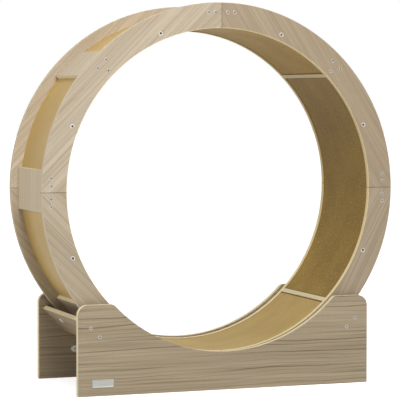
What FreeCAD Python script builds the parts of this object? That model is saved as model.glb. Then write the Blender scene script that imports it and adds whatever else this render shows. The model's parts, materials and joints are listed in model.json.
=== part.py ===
import FreeCAD
import Part

import math
import os
import re

import Sketcher
from FreeCAD import Placement, Rotation, Vector

# Exercise wheel for a cat: a double-skinned wooden running wheel between two rings, turning on four
# grooved rollers inside a low wooden base. Millimetres. +Z is up, +Y runs along the wheel's axle from
# front to rear, and the origin is on the floor under the middle of the wheel.
#
# Every piece is drawn in the front view: local x to the right, local y up and local z towards the
# viewer, with the wheel's centre as the origin. node() then stands that view up in the model.

SIZES = {
    # Rings
    "ring_outer_radius": 460,
    "ring_width": 62.5,
    "ring_thickness": 12,
    "track_width": 270,
    "floor_clearance": 30,
    # Running track: two skins with ribs and slats between them
    "track_setback": 2,
    "skin_thickness": 3,
    "rib_depth": 27.5,
    "rib_width": 30,
    "slat_thickness": 12,
    "slat_gap": 1,
    "glue_gap": 0.2,
    # Plates outside the outer skin
    "plate_thickness": 11,
    "plate_stand": 7.5,
    "seam_plate_length": 104,
    "diagonal_plate_length": 86,
    # Fasteners of the wheel
    "bolt_rib_inset": 11.5,
    "bolt_head_radius": 6,
    "bolt_head_height": 5,
    "bolt_socket_radius": 3,
    "bolt_socket_depth": 3.5,
    "bolt_shank_radius": 3.5,
    "bolt_length": 50,
    "screw_head_radius": 4.8,
    "screw_head_height": 2.2,
    "screw_shank_radius": 2,
    "screw_length": 40,
    "screw_clearance": 0.1,
    "screw_tip_gap": 0.5,
    "plate_screw_depth": 4.5,
    "slat_screw_inset": 15.5,
    "seam_screw_first": 16,
    "seam_screw_step": 18,
    "diagonal_screw_offset": 15,
    # Side panels
    "panel_thickness": 15,
    "panel_gap": 16,
    "panel_end_margin": 10,
    "panel_top_margin": 33,
    "cutout_reveal": 1.5,
    "panel_corner_radius": 25,
    "cutout_corner_radius": 13,
    # Cross boards and their fasteners
    "board_angle": 45,
    "board_gap": 9.5,
    "board_thickness": 12,
    "board_width": 83,
    "board_screw_offset": 16,
    "board_screw_length": 50,
    "board_bolt_offset": 13,
    "board_bolt_from_middle": 63,
    "board_bolt_head_radius": 7,
    "board_bolt_head_height": 2,
    "board_bolt_shank_radius": 3,
    "board_nut_radius": 5.5,
    "board_nut_height": 4,
    "board_bolt_end": 1,
    # Rollers
    "roller_angle": 30,
    "roller_groove_radius": 20,
    "roller_flange_height": 4,
    "roller_flange_thickness": 3,
    "roller_side_clearance": 1,
    "rolling_gap": 0.3,
    "bearing_bore_radius": 4,
    "bearing_outer_radius": 11,
    "bearing_width": 7,
    "bearing_race_thickness": 2,
    "bearing_shield_recess": 0.5,
    "hub_clearance": 1,
    # Axles and brackets
    "axle_clearance": 0.05,
    "axle_end_play": 0.3,
    "axle_seat_depth": 12,
    "axle_tip_length": 1.7,
    "clip_thickness": 1,
    "clip_groove_depth": 0.8,
    "bracket_thickness": 3,
    "bracket_boss_radius": 16,
    "bracket_strap_width": 16,
    "bracket_screw_spread": 46.5,
    "bracket_screw_head_radius": 4.5,
    "bracket_screw_head_height": 2.5,
    "bracket_screw_shank_radius": 2,
    "bracket_screw_length": 14,
    # Blank name plate
    "badge_length": 54,
    "badge_height": 20,
    "badge_thickness": 1.5,
    "badge_bevel": 1.2,
    "badge_from_end": 35,
    "badge_from_floor": 20.5,
}

# Sizes that follow from the ones above.
FORMULAS = {
    "ring_inner_radius": "ring_outer_radius - ring_width",
    "wheel_height": "ring_outer_radius + floor_clearance",
    "half_track": "track_width / 2",
    "ring_face": "half_track + ring_thickness",
    "track_radius": "ring_inner_radius + track_setback",
    "rib_inner_radius": "track_radius + skin_thickness",
    "rib_outer_radius": "rib_inner_radius + rib_depth",
    "skin_outer_radius": "rib_outer_radius + skin_thickness",
    "plate_face": "skin_outer_radius + plate_stand",
    "bolt_orbit": "rib_inner_radius + bolt_rib_inset",
    "plate_screw_orbit": "plate_face - plate_screw_depth",
    "slat_screw_orbit": "ring_inner_radius + slat_screw_inset",
    "board_radius": "ring_outer_radius + board_gap",
    "board_middle": "board_radius + board_thickness / 2",
    "board_rise": "board_width / 2 * sin(board_angle)",
    "board_run": "board_width / 2 * cos(board_angle)",
    "board_top": "board_rise - board_radius * cos(board_angle)",
    "board_end": "board_run + (board_radius + board_thickness) * sin(board_angle)",
    "panel_inner": "ring_face + panel_gap",
    "panel_face": "panel_inner + panel_thickness",
    "panel_half": "board_end + panel_end_margin",
    "panel_top": "board_top + panel_top_margin",
    "cutout_radius": "ring_inner_radius - cutout_reveal",
    "roller_plane": "half_track + ring_thickness / 2",
    "roller_orbit": "ring_outer_radius + rolling_gap + roller_groove_radius",
    "roller_x": "roller_orbit * sin(roller_angle)",
    "roller_y": "-roller_orbit * cos(roller_angle)",
    "roller_flange_radius": "roller_groove_radius + roller_flange_height",
    "groove_half": "ring_thickness / 2 + roller_side_clearance",
    "roller_half": "groove_half + roller_flange_thickness",
    "bearing_half": "bearing_width / 2",
    "inner_race": "bearing_bore_radius + bearing_race_thickness",
    "outer_race": "bearing_outer_radius - bearing_race_thickness",
    "axle_journal": "bearing_bore_radius - axle_clearance",
    "axle_groove": "axle_journal - clip_groove_depth",
    "axle_step": "bearing_half + axle_end_play",
    "axle_seat_end": "bracket_reach + bracket_thickness + axle_seat_depth",
    "bracket_face": "panel_inner - bracket_thickness",
    "bracket_reach": "bracket_face - roller_plane",
}

QUARTERS = {"upper_right": 0, "upper_left": 90, "lower_left": 180, "lower_right": 270}
SIDES = {"right": 0, "top": 90, "left": 180, "bottom": 270}
BOARD_ANGLES = {"left": "270 - board_angle", "right": "270 + board_angle"}
RIBS = 8
MARGIN = 5

doc = FreeCAD.newDocument("exercise_wheel")
nodes = []


def make_sheet():
    """The driving sizes, one alias a row."""
    sheet = doc.addObject("Spreadsheet::Sheet", "sizes")
    for row, (alias, number) in enumerate(SIZES.items(), start=1):
        sheet.set(f"A{row}", alias.replace("_", " "))
        sheet.set(f"B{row}", str(number))
        sheet.setAlias(f"B{row}", alias)
    doc.recompute()
    return sheet


sizes = make_sheet()


def formula(text):
    """Spell out a formula in cells of the sheet."""

    def spell(match):
        word = match.group()
        if word in FORMULAS:
            return f"({formula(FORMULAS[word])})"
        return f"sizes.{word}" if word in SIZES else word

    return re.sub(r"[a-z]\w*", spell, str(text))


def value(text):
    """The number that a formula gives now."""
    return float(sizes.evalExpression(formula(text)))


def bind(thing, **properties):
    """Tie properties of an object to formulas."""
    for name, text in properties.items():
        thing.setExpression(name, formula(text))


def bind_position(thing, x, y, z, path="Placement"):
    """Tie the three coordinates of a placement to formulas."""
    for axis, text in zip("xyz", (x, y, z)):
        thing.setExpression(f"{path}.Base.{axis}", formula(text))


def bind_turn(thing, angle):
    """Turn an object about local z by a formula in degrees."""
    thing.Placement = Placement(Vector(), Rotation(Vector(0, 0, 1), 1))
    thing.setExpression("Placement.Rotation.Angle", formula(angle))


def compound(name, parts):
    """Several separate solids as one piece."""
    group = doc.addObject("Part::Compound", name)
    group.Links = parts
    return group


def node(label, parts, angle=0, at=("0", "0", "0"), flipped=False):
    """Stand parts of the front view up in the model as one finished piece.

    They are turned by angle about the wheel's axis, or flipped back to front, and moved to a place.
    """
    piece = compound(label, parts)
    turn = Rotation(Vector(0, 1, 0), 180) if flipped else Rotation(Vector(0, 0, 1), angle)
    upright = Rotation(Vector(1, 0, 0), 90)
    piece.Placement = Placement(Vector(), upright * turn)
    x, y, z = at
    bind_position(piece, x, f"-({z})", f"wheel_height + ({y})")
    piece.Label = label
    nodes.append(piece)


def spread(template, label, angles):
    """The same part as a piece at each of the named angles about the wheel's axis."""
    for word, angle in angles.items():
        node(label.format(word), [template], angle=angle)


# ---------------------------------------------------------------------------------------------
# Building blocks
# ---------------------------------------------------------------------------------------------

def board(name, start, size, angle="0"):
    """A box from its near corner and its sides, turned by angle about the wheel's axis."""
    box = doc.addObject("Part::Box", name)
    bind(box, Length=size[0], Width=size[1], Height=size[2])
    bind_turn(box, angle)
    x, y, z = start
    bind_position(
        box,
        f"({x}) * cos({angle}) - ({y}) * sin({angle})",
        f"({x}) * sin({angle}) + ({y}) * cos({angle})",
        z,
    )
    return box


def cylinder(name, radius, start, height, sweep="360", turn="0", x="0"):
    """A cylinder or a slice of one, along local z."""
    rod = doc.addObject("Part::Cylinder", name)
    bind(rod, Radius=radius, Height=height, Angle=sweep)
    bind_turn(rod, turn)
    bind_position(rod, x, "0", start)
    return rod


def cut(name, base, *tools):
    """The base with every tool taken out of it."""
    for index, tool in enumerate(tools):
        result = doc.addObject("Part::Cut", f"{name}_cut_{index}")
        result.Base = base
        result.Tool = tool
        base = result
    return base


def band(name, inner, outer, start, height, sweep="360", turn="0"):
    """A ring or an arc of one, between two radii."""
    disc = cylinder(f"{name}_disc", outer, start, height, sweep, turn)
    core = cylinder(f"{name}_core", inner, f"({start}) - {MARGIN}", f"({height}) + {2 * MARGIN}")
    return cut(name, disc, core)


def origin_feature(body, role):
    """One of a body's own axes or planes."""
    return next(item for item in body.Origin.OriginFeatures if item.Role == role)


def fix_point(sketch, line, end, x, y):
    """Hold one end of a line at a formula for x and one for y."""
    for kind, text, axis in (("DistanceX", x, -2), ("DistanceY", y, -1)):
        now = value(text)
        if abs(now) < 1e-9:
            sketch.addConstraint(Sketcher.Constraint("PointOnObject", line, end, axis))
            continue
        index = sketch.addConstraint(Sketcher.Constraint(kind, -1, 1, line, end, now))
        sketch.setExpression(f"Constraints[{index}]", formula(text))


def outline(body, name, plane, corners):
    """A sketch with a closed outline of straight lines through the corners."""
    sketch = body.newObject("Sketcher::SketchObject", name)
    sketch.AttachmentSupport = [(origin_feature(body, plane), "")]
    sketch.MapMode = "FlatFace"
    points = [Vector(value(x), value(y), 0) for x, y in corners]
    for start, end in zip(points, points[1:] + points[:1]):
        sketch.addGeometry(Part.LineSegment(start, end), False)
    for line in range(len(points)):
        following = (line + 1) % len(points)
        sketch.addConstraint(Sketcher.Constraint("Coincident", line, 2, following, 1))
        fix_point(sketch, line, 1, *corners[line])
    return sketch


def turned(name, section, x="0", y="0", along="z"):
    """A body turned from its half section: each corner is a radius and a place along the axis.

    The axis runs along local z through x, y, or along local x through the points x and y of y, z.
    """
    body = doc.addObject("PartDesign::Body", name)
    if along == "z":
        sketch = outline(body, f"{name}_section", "XZ_Plane", section)
        bind_position(sketch, x, "0", f"-({y})", "AttachmentOffset")
        axis = "V_Axis"
    else:
        sketch = outline(body, f"{name}_section", "XY_Plane", [corner[::-1] for corner in section])
        bind_position(sketch, "0", x, y, "AttachmentOffset")
        axis = "H_Axis"
    turning = body.newObject("PartDesign::Revolution", f"{name}_turning")
    turning.Profile = (sketch, [""])
    turning.ReferenceAxis = (sketch, [axis])
    turning.Angle = 360
    body.Tip = turning
    return body


def repeat(body, *steps):
    """Repeat a body's only feature: each step mirrors it, or spreads copies round or along."""
    multi = body.newObject("PartDesign::MultiTransform", f"{body.Name}_copies")
    multi.Originals = [body.Group[-2]]
    patterns = []
    for index, (kind, reference, settings) in enumerate(steps):
        pattern = body.newObject(f"PartDesign::{kind}", f"{body.Name}_step_{index}")
        link = {"Mirrored": "MirrorPlane", "PolarPattern": "Axis", "LinearPattern": "Direction"}[kind]
        setattr(pattern, link, (origin_feature(body, reference), [""]))
        bind(pattern, **settings)
        patterns.append(pattern)
    multi.Transformations = patterns
    body.Tip = multi
    return body


def mirrored(plane):
    return "Mirrored", plane, {}


def around(count, extent="360"):
    return "PolarPattern", "Z_Axis", {"Occurrences": str(count), "Angle": extent}


def along(axis, count, extent):
    return "LinearPattern", axis, {"Occurrences": str(count), "Length": extent}


def flush_screw(kind, length, face, hole):
    """Half section of a screw whose head ends at the face, or of the hole that it needs."""
    growth, end_gap = ("screw_clearance", "screw_tip_gap") if hole else ("0", "0")
    shank = f"{kind}_shank_radius + {growth}"
    head = f"{kind}_head_radius + {growth}"
    seat = f"{face} - {kind}_head_height"
    tip = f"{face} - {length} - {end_gap}"
    return [("0", tip), (shank, tip), (shank, seat), (head, seat), (head, face), ("0", face)]


# ---------------------------------------------------------------------------------------------
# Fasteners of the wheel, and the holes that they need
# ---------------------------------------------------------------------------------------------

def seam_screws(name, hole=False):
    """Four screws into each end of each seam plate."""
    section = flush_screw("screw", "screw_length", "ring_face", hole)
    body = turned(name, section, "plate_screw_orbit", "seam_screw_first")
    second = along("Y_Axis", 2, "seam_screw_step")
    return repeat(body, second, mirrored("XZ_Plane"), around(4), mirrored("XY_Plane"))


def diagonal_screws(name, hole=False):
    """Two screws into each end of each diagonal plate."""
    section = flush_screw("screw", "screw_length", "ring_face", hole)
    body = turned(name, section, "plate_screw_orbit", "diagonal_screw_offset")
    bind_turn(body, "45")
    return repeat(body, mirrored("XZ_Plane"), around(4), mirrored("XY_Plane"))


def slat_screws(name, hole=False):
    """One screw into each end of each slat."""
    section = flush_screw("screw", "screw_length", "ring_face", hole)
    body = turned(name, section, "slat_screw_orbit")
    bind_turn(body, "45")
    return repeat(body, around(4), mirrored("XY_Plane"))


def ring_bolts(name, hole=False):
    """A socket-head bolt into each end of each rib."""
    section = flush_screw("bolt", "bolt_length", "ring_face", hole)
    if not hole:
        floor = "ring_face - bolt_socket_depth"
        socket = [("bolt_socket_radius", "ring_face"), ("bolt_socket_radius", floor), ("0", floor)]
        section[-1:] = socket
    body = turned(name, section, "bolt_orbit")
    bind_turn(body, f"180 / {RIBS}")
    return repeat(body, around(RIBS), mirrored("XY_Plane"))


seam_holes = seam_screws("seam_screw_holes", hole=True)
diagonal_holes = diagonal_screws("diagonal_screw_holes", hole=True)
slat_holes = slat_screws("slat_screw_holes", hole=True)
bolt_holes = ring_bolts("ring_bolt_holes", hole=True)
ring_holes = compound("ring_holes", [seam_holes, diagonal_holes, slat_holes, bolt_holes])


def make_wheel_fasteners():
    kinds = (seam_screws, diagonal_screws, slat_screws)
    node("ring_screws", [kind(f"wheel_{kind.__name__}") for kind in kinds])
    node("ring_bolts", [ring_bolts("wheel_ring_bolts")])


# ---------------------------------------------------------------------------------------------
# Wheel
# ---------------------------------------------------------------------------------------------

def make_rings():
    """Two rings of four quarter segments, butted at 3, 12, 9 and 6 o'clock."""
    for side, start in (("front", "half_track"), ("rear", "-ring_face")):
        arc = band(
            f"{side}_arc", "ring_inner_radius", "ring_outer_radius", start, "ring_thickness", "90"
        )
        segment = cut(f"{side}_segment", arc, ring_holes)
        spread(segment, f"{side}_ring_{{}}", QUARTERS)


def plate(name, length, angle, holes):
    """A tangential plate from ring to ring, hollowed underneath to lie on the outer skin."""
    start = ("plate_face - plate_thickness", f"-{length} / 2", "-half_track")
    block = board(f"{name}_block", start, ("plate_thickness", length, "track_width"), angle)
    skin = cylinder(
        f"{name}_hollow", "skin_outer_radius + glue_gap",
        f"-half_track - {MARGIN}", f"track_width + {2 * MARGIN}",
    )
    return cut(name, block, skin, holes)


def slat():
    """A radial slat from ring to ring, flush with the rings' inner edge."""
    start = ("ring_inner_radius", "-slat_thickness / 2", "-half_track")
    depth = "rib_outer_radius - glue_gap - ring_inner_radius"
    block = board("slat_block", start, (depth, "slat_thickness", "track_width"), "45")
    return cut("slat", block, slat_holes)


def track_panel(name, start):
    """A section of the running surface, from the seam at 0 degrees to the slat on either side."""
    lap = "asin((slat_thickness / 2 + slat_gap) / track_radius)"
    return band(
        name, "track_radius", "track_radius + skin_thickness", "-half_track", "track_width",
        f"45 deg - {lap}", start.format(lap=lap),
    )


def outer_skin():
    """A section of the outer skin, from seam plate to seam plate."""
    return band(
        "outer_skin", "rib_outer_radius", "skin_outer_radius", "-half_track", "track_width", "90"
    )


def ribs():
    """The ribs between the skins, one halfway along each panel, with room for the ring bolts."""
    start = ("rib_inner_radius - rib_width / 2", "-rib_width / 2", "-half_track")
    size = ("rib_depth + rib_width", "rib_width", "track_width")
    turns = [(index + 0.5) * 360 / RIBS for index in range(RIBS)]
    blocks = compound("rib_blocks", [board("rib_block", start, size, turn) for turn in turns])
    room = band(
        "rib_room", "rib_inner_radius + glue_gap", "rib_outer_radius - glue_gap",
        "-half_track", "track_width",
    )
    curved = doc.addObject("Part::Common", "curved_ribs")
    curved.Base = blocks
    curved.Tool = room
    return cut("ribs", curved, bolt_holes)


def make_wheel():
    make_rings()
    seam_plate = plate("seam_plate", "seam_plate_length", "0", seam_holes)
    diagonal_plate = plate("diagonal_plate", "diagonal_plate_length", "45", diagonal_holes)
    spread(seam_plate, "{}_seam_plate", SIDES)
    spread(diagonal_plate, "{}_diagonal_plate", QUARTERS)
    spread(track_panel("panel_after_seam", "0"), "{}_track_panel_after", SIDES)
    spread(track_panel("panel_before_seam", "{lap} - 45 deg"), "{}_track_panel_before", SIDES)
    node("track_ribs", [ribs()])
    spread(slat(), "{}_slat", QUARTERS)
    spread(outer_skin(), "{}_outer_skin", QUARTERS)
    make_wheel_fasteners()


# ---------------------------------------------------------------------------------------------
# Fasteners of the base, and the holes that they need
# ---------------------------------------------------------------------------------------------

def board_screws(name, hole=False):
    """Two screws through each side panel into each end of each cross board."""
    section = flush_screw("screw", "board_screw_length", "panel_face", hole)
    body = turned(name, section, "board_middle", "board_screw_offset")
    bind_turn(body, BOARD_ANGLES["left"])
    return repeat(body, mirrored("XZ_Plane"), around(2, "2 * board_angle"), mirrored("XY_Plane"))


def board_bolt(name, side, hole=False):
    """The bolt through a cross board, nearer its upper edge, with its head outside."""
    outer = "board_radius + board_thickness"
    end = "board_radius - board_nut_height - board_bolt_end"
    shank = "board_bolt_shank_radius + screw_clearance" if hole else "board_bolt_shank_radius"
    head = shank if hole else "board_bolt_head_radius"
    crown = f"{outer} + board_bolt_head_height"
    section = [("0", end), (shank, end), (shank, outer), (head, outer), (head, crown), ("0", crown)]
    if hole:
        del section[2:4]
    return turned_on_board(name, section, side)


def board_nut(name, side):
    """The nut of a cross board's bolt, on its inner face."""
    bore = "board_bolt_shank_radius + screw_clearance"
    face = "board_radius - board_nut_height"
    rim = "board_nut_radius"
    section = [(bore, face), (rim, face), (rim, "board_radius"), (bore, "board_radius")]
    return turned_on_board(name, section, side)


def turned_on_board(name, section, side):
    """A turned piece square to a cross board: to the rear on the left, to the front on the right."""
    places = {
        "left": ("-board_bolt_offset", "-board_bolt_from_middle"),
        "right": ("board_bolt_offset", "board_bolt_from_middle"),
    }
    body = turned(name, section, *places[side], along="x")
    bind_turn(body, BOARD_ANGLES[side])
    return body


def bracket_screws(name, hole=False):
    """Two screws through each roller bracket into its side panel."""
    growth, end_gap = ("screw_clearance", "screw_tip_gap") if hole else ("0", "0")
    shank = f"bracket_screw_shank_radius + {growth}"
    head = f"bracket_screw_head_radius + {growth}"
    tip = f"bracket_face + bracket_screw_length + {end_gap}"
    seat, crown = "bracket_face", "bracket_face - bracket_screw_head_height"
    section = [("0", tip), (shank, tip), (shank, seat), (head, seat), (head, crown), ("0", crown)]
    body = turned(name, section, "roller_x - bracket_screw_spread", "roller_y")
    second = along("X_Axis", 2, "2 * bracket_screw_spread")
    return repeat(body, second, mirrored("YZ_Plane"), mirrored("XY_Plane"))


def axle_seats(name):
    """The blind holes in the side panels that hold the axles."""
    mouth, end = f"panel_inner - {MARGIN}", "panel_inner + axle_seat_depth"
    bore = "bearing_bore_radius"
    section = [("0", mouth), (bore, mouth), (bore, end), ("0", end)]
    body = turned(name, section, "roller_x", "roller_y")
    return repeat(body, mirrored("YZ_Plane"), mirrored("XY_Plane"))


board_screw_holes = board_screws("board_screw_holes", hole=True)
bracket_screw_holes = bracket_screws("bracket_screw_holes", hole=True)
axle_holes = axle_seats("axle_holes")


def axle_clips(name):
    """The clips that keep the rollers on their axles."""
    hole, rim = "axle_groove + screw_clearance", "inner_race"
    near, far = "roller_plane - axle_step", "roller_plane - axle_step - clip_thickness"
    section = [(hole, near), (hole, far), (rim, far), (rim, near)]
    body = turned(name, section, "roller_x", "roller_y")
    return repeat(body, mirrored("YZ_Plane"), mirrored("XY_Plane"))


def make_base_fasteners():
    bolts = [board_bolt(f"{side}_board_bolt", side) for side in BOARD_ANGLES]
    nuts = [board_nut(f"{side}_board_nut", side) for side in BOARD_ANGLES]
    node("cross_board_screws", [board_screws("board_screws")])
    node("cross_board_bolts", bolts + nuts)
    node("bracket_screws", [bracket_screws("strap_screws")])
    node("axle_clips", [axle_clips("clips")])


# ---------------------------------------------------------------------------------------------
# Base
# ---------------------------------------------------------------------------------------------

def panel_sketch(body, name, mouth):
    """Outline of a side panel: a low rectangle with a round hollow in its top for the wheel."""
    sketch = body.newObject("Sketcher::SketchObject", name)
    sketch.AttachmentSupport = [(origin_feature(body, "XY_Plane"), "")]
    sketch.MapMode = "FlatFace"
    half, top, floor = value("panel_half"), value("panel_top"), value("-wheel_height")
    corners = [(-mouth, top), (-half, top), (-half, floor), (half, floor), (half, top), (mouth, top)]
    points = [Vector(x, y, 0) for x, y in corners]
    for start, end in zip(points, points[1:]):
        sketch.addGeometry(Part.LineSegment(start, end), False)
    radius = value("cutout_radius")
    first, last = (math.atan2(y, x) % (2 * math.pi) for x, y in (corners[0], corners[-1]))
    circle = Part.Circle(Vector(), Vector(0, 0, 1), radius)
    arc = sketch.addGeometry(Part.ArcOfCircle(circle, first, last), False)
    for line in range(4):
        sketch.addConstraint(Sketcher.Constraint("Coincident", line, 2, line + 1, 1))
    sketch.addConstraint(Sketcher.Constraint("Coincident", arc, 1, 0, 1))
    sketch.addConstraint(Sketcher.Constraint("Coincident", arc, 2, 4, 2))
    sketch.addConstraint(Sketcher.Constraint("Coincident", arc, 3, -1, 1))
    index = sketch.addConstraint(Sketcher.Constraint("Radius", arc, radius))
    sketch.setExpression(f"Constraints[{index}]", formula("cutout_radius"))
    fix_point(sketch, 1, 1, "-panel_half", "panel_top")
    fix_point(sketch, 2, 1, "-panel_half", "-wheel_height")
    fix_point(sketch, 3, 1, "panel_half", "-wheel_height")
    fix_point(sketch, 4, 1, "panel_half", "panel_top")
    sketch.addConstraint(Sketcher.Constraint("Horizontal", 0))
    sketch.addConstraint(Sketcher.Constraint("Horizontal", 4))
    return sketch


def edges_at(feature, spots):
    """Names of the edges along local z through any of the spots."""
    names = []
    for number, edge in enumerate(feature.Shape.Edges, start=1):
        ends = [vertex.Point for vertex in edge.Vertexes]
        upright = len(ends) == 2 and abs(ends[0].z - ends[1].z) > 1
        if upright and any(math.hypot(ends[0].x - x, ends[0].y - y) < 0.01 for x, y in spots):
            names.append(f"Edge{number}")
    return names


def make_side_panel(side, start):
    """A side panel with rounded corners, drilled for the cross boards and the rollers."""
    body = doc.addObject("PartDesign::Body", f"{side}_panel_board")
    top = value("panel_top")
    mouth = math.sqrt(value("cutout_radius") ** 2 - top ** 2)
    sketch = panel_sketch(body, f"{side}_panel_outline", mouth)
    bind_position(sketch, "0", "0", start, "AttachmentOffset")
    shape = body.newObject("PartDesign::Pad", f"{side}_panel_pad")
    shape.Profile = (sketch, [""])
    bind(shape, Length="panel_thickness")
    for size, x in (("panel_corner_radius", value("panel_half")), ("cutout_corner_radius", mouth)):
        doc.recompute()
        rounding = body.newObject("PartDesign::Fillet", f"{side}_{size}")
        rounding.Base = (shape, edges_at(shape, [(-x, top), (x, top)]))
        bind(rounding, Radius=size)
        shape = rounding
    body.Tip = shape
    panel = cut(f"{side}_panel", body, board_screw_holes, bracket_screw_holes, axle_holes)
    node(f"{side}_side_panel", [panel])


def make_cross_board(side):
    """A board from panel to panel, square to the wheel's radius."""
    start = ("board_radius", "-board_width / 2", "-panel_inner")
    size = ("board_thickness", "board_width", "2 * panel_inner")
    plank = board(f"{side}_plank", start, size, BOARD_ANGLES[side])
    bolt_room = board_bolt(f"{side}_board_bolt_hole", side, hole=True)
    drilled = cut(f"{side}_drilled_plank", plank, board_screw_holes, bolt_room)
    node(f"{side}_cross_board", [drilled])


def make_badge():
    """A blank bevelled plate low on the front panel."""
    badge = doc.addObject("Part::Wedge", "badge")
    bind(
        badge,
        Xmin="0", Xmax="badge_length", X2min="badge_bevel", X2max="badge_length - badge_bevel",
        Zmin="0", Zmax="badge_height", Z2min="badge_bevel", Z2max="badge_height - badge_bevel",
        Ymin="0", Ymax="badge_thickness",
    )
    badge.Placement = Placement(Vector(), Rotation(Vector(1, 0, 0), 90))
    corner = ("badge_from_end - panel_half", "badge_from_floor + badge_height - wheel_height")
    node("badge_plate", [badge], at=(*corner, "panel_face"))


# ---------------------------------------------------------------------------------------------
# Rollers: drawn about their own middle, with local z outwards to the side panel
# ---------------------------------------------------------------------------------------------

def roller_section():
    """Half section of a grooved roller; its bearing goes in from the inner side."""
    rim, groove, hub = "roller_flange_radius", "roller_groove_radius", "inner_race + hub_clearance"
    return [
        ("bearing_outer_radius", "-roller_half"),
        (rim, "-roller_half"),
        (rim, "-groove_half"),
        (groove, "-groove_half"),
        (groove, "groove_half"),
        (rim, "groove_half"),
        (rim, "roller_half"),
        (hub, "roller_half"),
        (hub, "bearing_half"),
        ("bearing_outer_radius", "bearing_half"),
    ]


def bearing_section():
    """Half section of a shielded ball bearing: two races, and shields set back between them."""
    shield = "(bearing_half - bearing_shield_recess)"
    half = [
        ("bearing_bore_radius", "bearing_half"),
        ("inner_race", "bearing_half"),
        ("inner_race", shield),
        ("outer_race", shield),
        ("outer_race", "bearing_half"),
        ("bearing_outer_radius", "bearing_half"),
    ]
    return half + [(radius, f"-{place}") for radius, place in reversed(half)]


def axle_section():
    """Half section of a stepped axle: seat in the panel, collar, journal and clip groove."""
    bore, clip, tip = "bearing_bore_radius", "axle_step + clip_thickness", "axle_tip_length"
    return [
        ("0", "axle_seat_end"),
        (bore, "axle_seat_end"),
        (bore, "bracket_reach"),
        ("inner_race", "bracket_reach"),
        ("inner_race", "axle_step"),
        ("axle_journal", "axle_step"),
        ("axle_journal", "-axle_step"),
        ("axle_groove", "-axle_step"),
        ("axle_groove", f"-({clip})"),
        ("axle_journal", f"-({clip})"),
        ("axle_journal", f"-({clip} + {tip})"),
        ("0", f"-({clip} + {tip})"),
    ]


def bracket():
    """A round-ended strap with a round boss, flat on the side panel."""
    half = "bracket_strap_width / 2"
    start = ("-bracket_screw_spread", f"-{half}", "bracket_reach")
    size = ("2 * bracket_screw_spread", "bracket_strap_width", "bracket_thickness")
    screw_hole = "bracket_screw_shank_radius + screw_clearance"
    strap = board("bracket_strap", start, size)
    discs, holes = [], []
    for word, x, outside, inside in (
        ("left", "-bracket_screw_spread", half, screw_hole),
        ("middle", "0", "bracket_boss_radius", "bearing_bore_radius"),
        ("right", "bracket_screw_spread", half, screw_hole),
    ):
        discs.append(cylinder(f"bracket_{word}", outside, "bracket_reach", "bracket_thickness", x=x))
        mouth, depth = f"bracket_reach - {MARGIN}", f"bracket_thickness + {2 * MARGIN}"
        holes.append(cylinder(f"bracket_{word}_hole", inside, mouth, depth, x=x))
    blank = doc.addObject("Part::MultiFuse", "bracket_blank")
    blank.Shapes = [strap, *discs]
    return cut("bracket", blank, *holes)


def make_rollers():
    """Four rollers, each with its bearing, axle and bracket."""
    templates = {
        "roller": turned("roller", roller_section()),
        "roller_bearing": turned("bearing", bearing_section()),
        "roller_axle": turned("axle", axle_section()),
        "roller_bracket": bracket(),
    }
    for side, z in (("front", "roller_plane"), ("rear", "-roller_plane")):
        for hand, x in (("left", "-roller_x"), ("right", "roller_x")):
            place = {"at": (x, "roller_y", z), "flipped": side == "rear"}
            for word, template in templates.items():
                node(f"{side}_{hand}_{word}", [template], **place)


def make_base():
    make_side_panel("front", "panel_inner")
    make_side_panel("rear", "-panel_face")
    for side in BOARD_ANGLES:
        make_cross_board(side)
    make_rollers()
    make_base_fasteners()
    make_badge()


# ---------------------------------------------------------------------------------------------
# Check and write
# ---------------------------------------------------------------------------------------------

def check_model():
    """Stop if any object failed or any piece is empty or broken."""
    for item in doc.Objects:
        if "Invalid" in item.State or "Error" in item.State:
            raise RuntimeError(f"{item.Label} failed: {item.State}")
    for piece in nodes:
        if piece.Shape.isNull() or not piece.Shape.isValid():
            raise RuntimeError(f"{piece.Label} has no valid shape")


def write_nodes():
    os.makedirs("parts", exist_ok=True)
    for piece in nodes:
        piece.Shape.exportStep(f"parts/{piece.Label}.step")
        print(f"{piece.Label}: {len(piece.Shape.Solids)} solids, {piece.Shape.Volume / 1000:.1f} cm3")
    print(f"{len(nodes)} nodes")


make_wheel()
make_base()
doc.recompute()
check_model()
write_nodes()
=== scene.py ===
# Cat exercise wheel: a double-skinned wooden running wheel between two rings, turning on four
# grooved rollers inside a low wooden base. Metres. +Z is up, +X is to the right seen from the front,
# and the wheel's axle runs along +Y, from the front with the name plate to the rear.

import json
import math
import random

import bmesh
import bpy
from mathutils import Euler, Matrix, Vector


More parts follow.
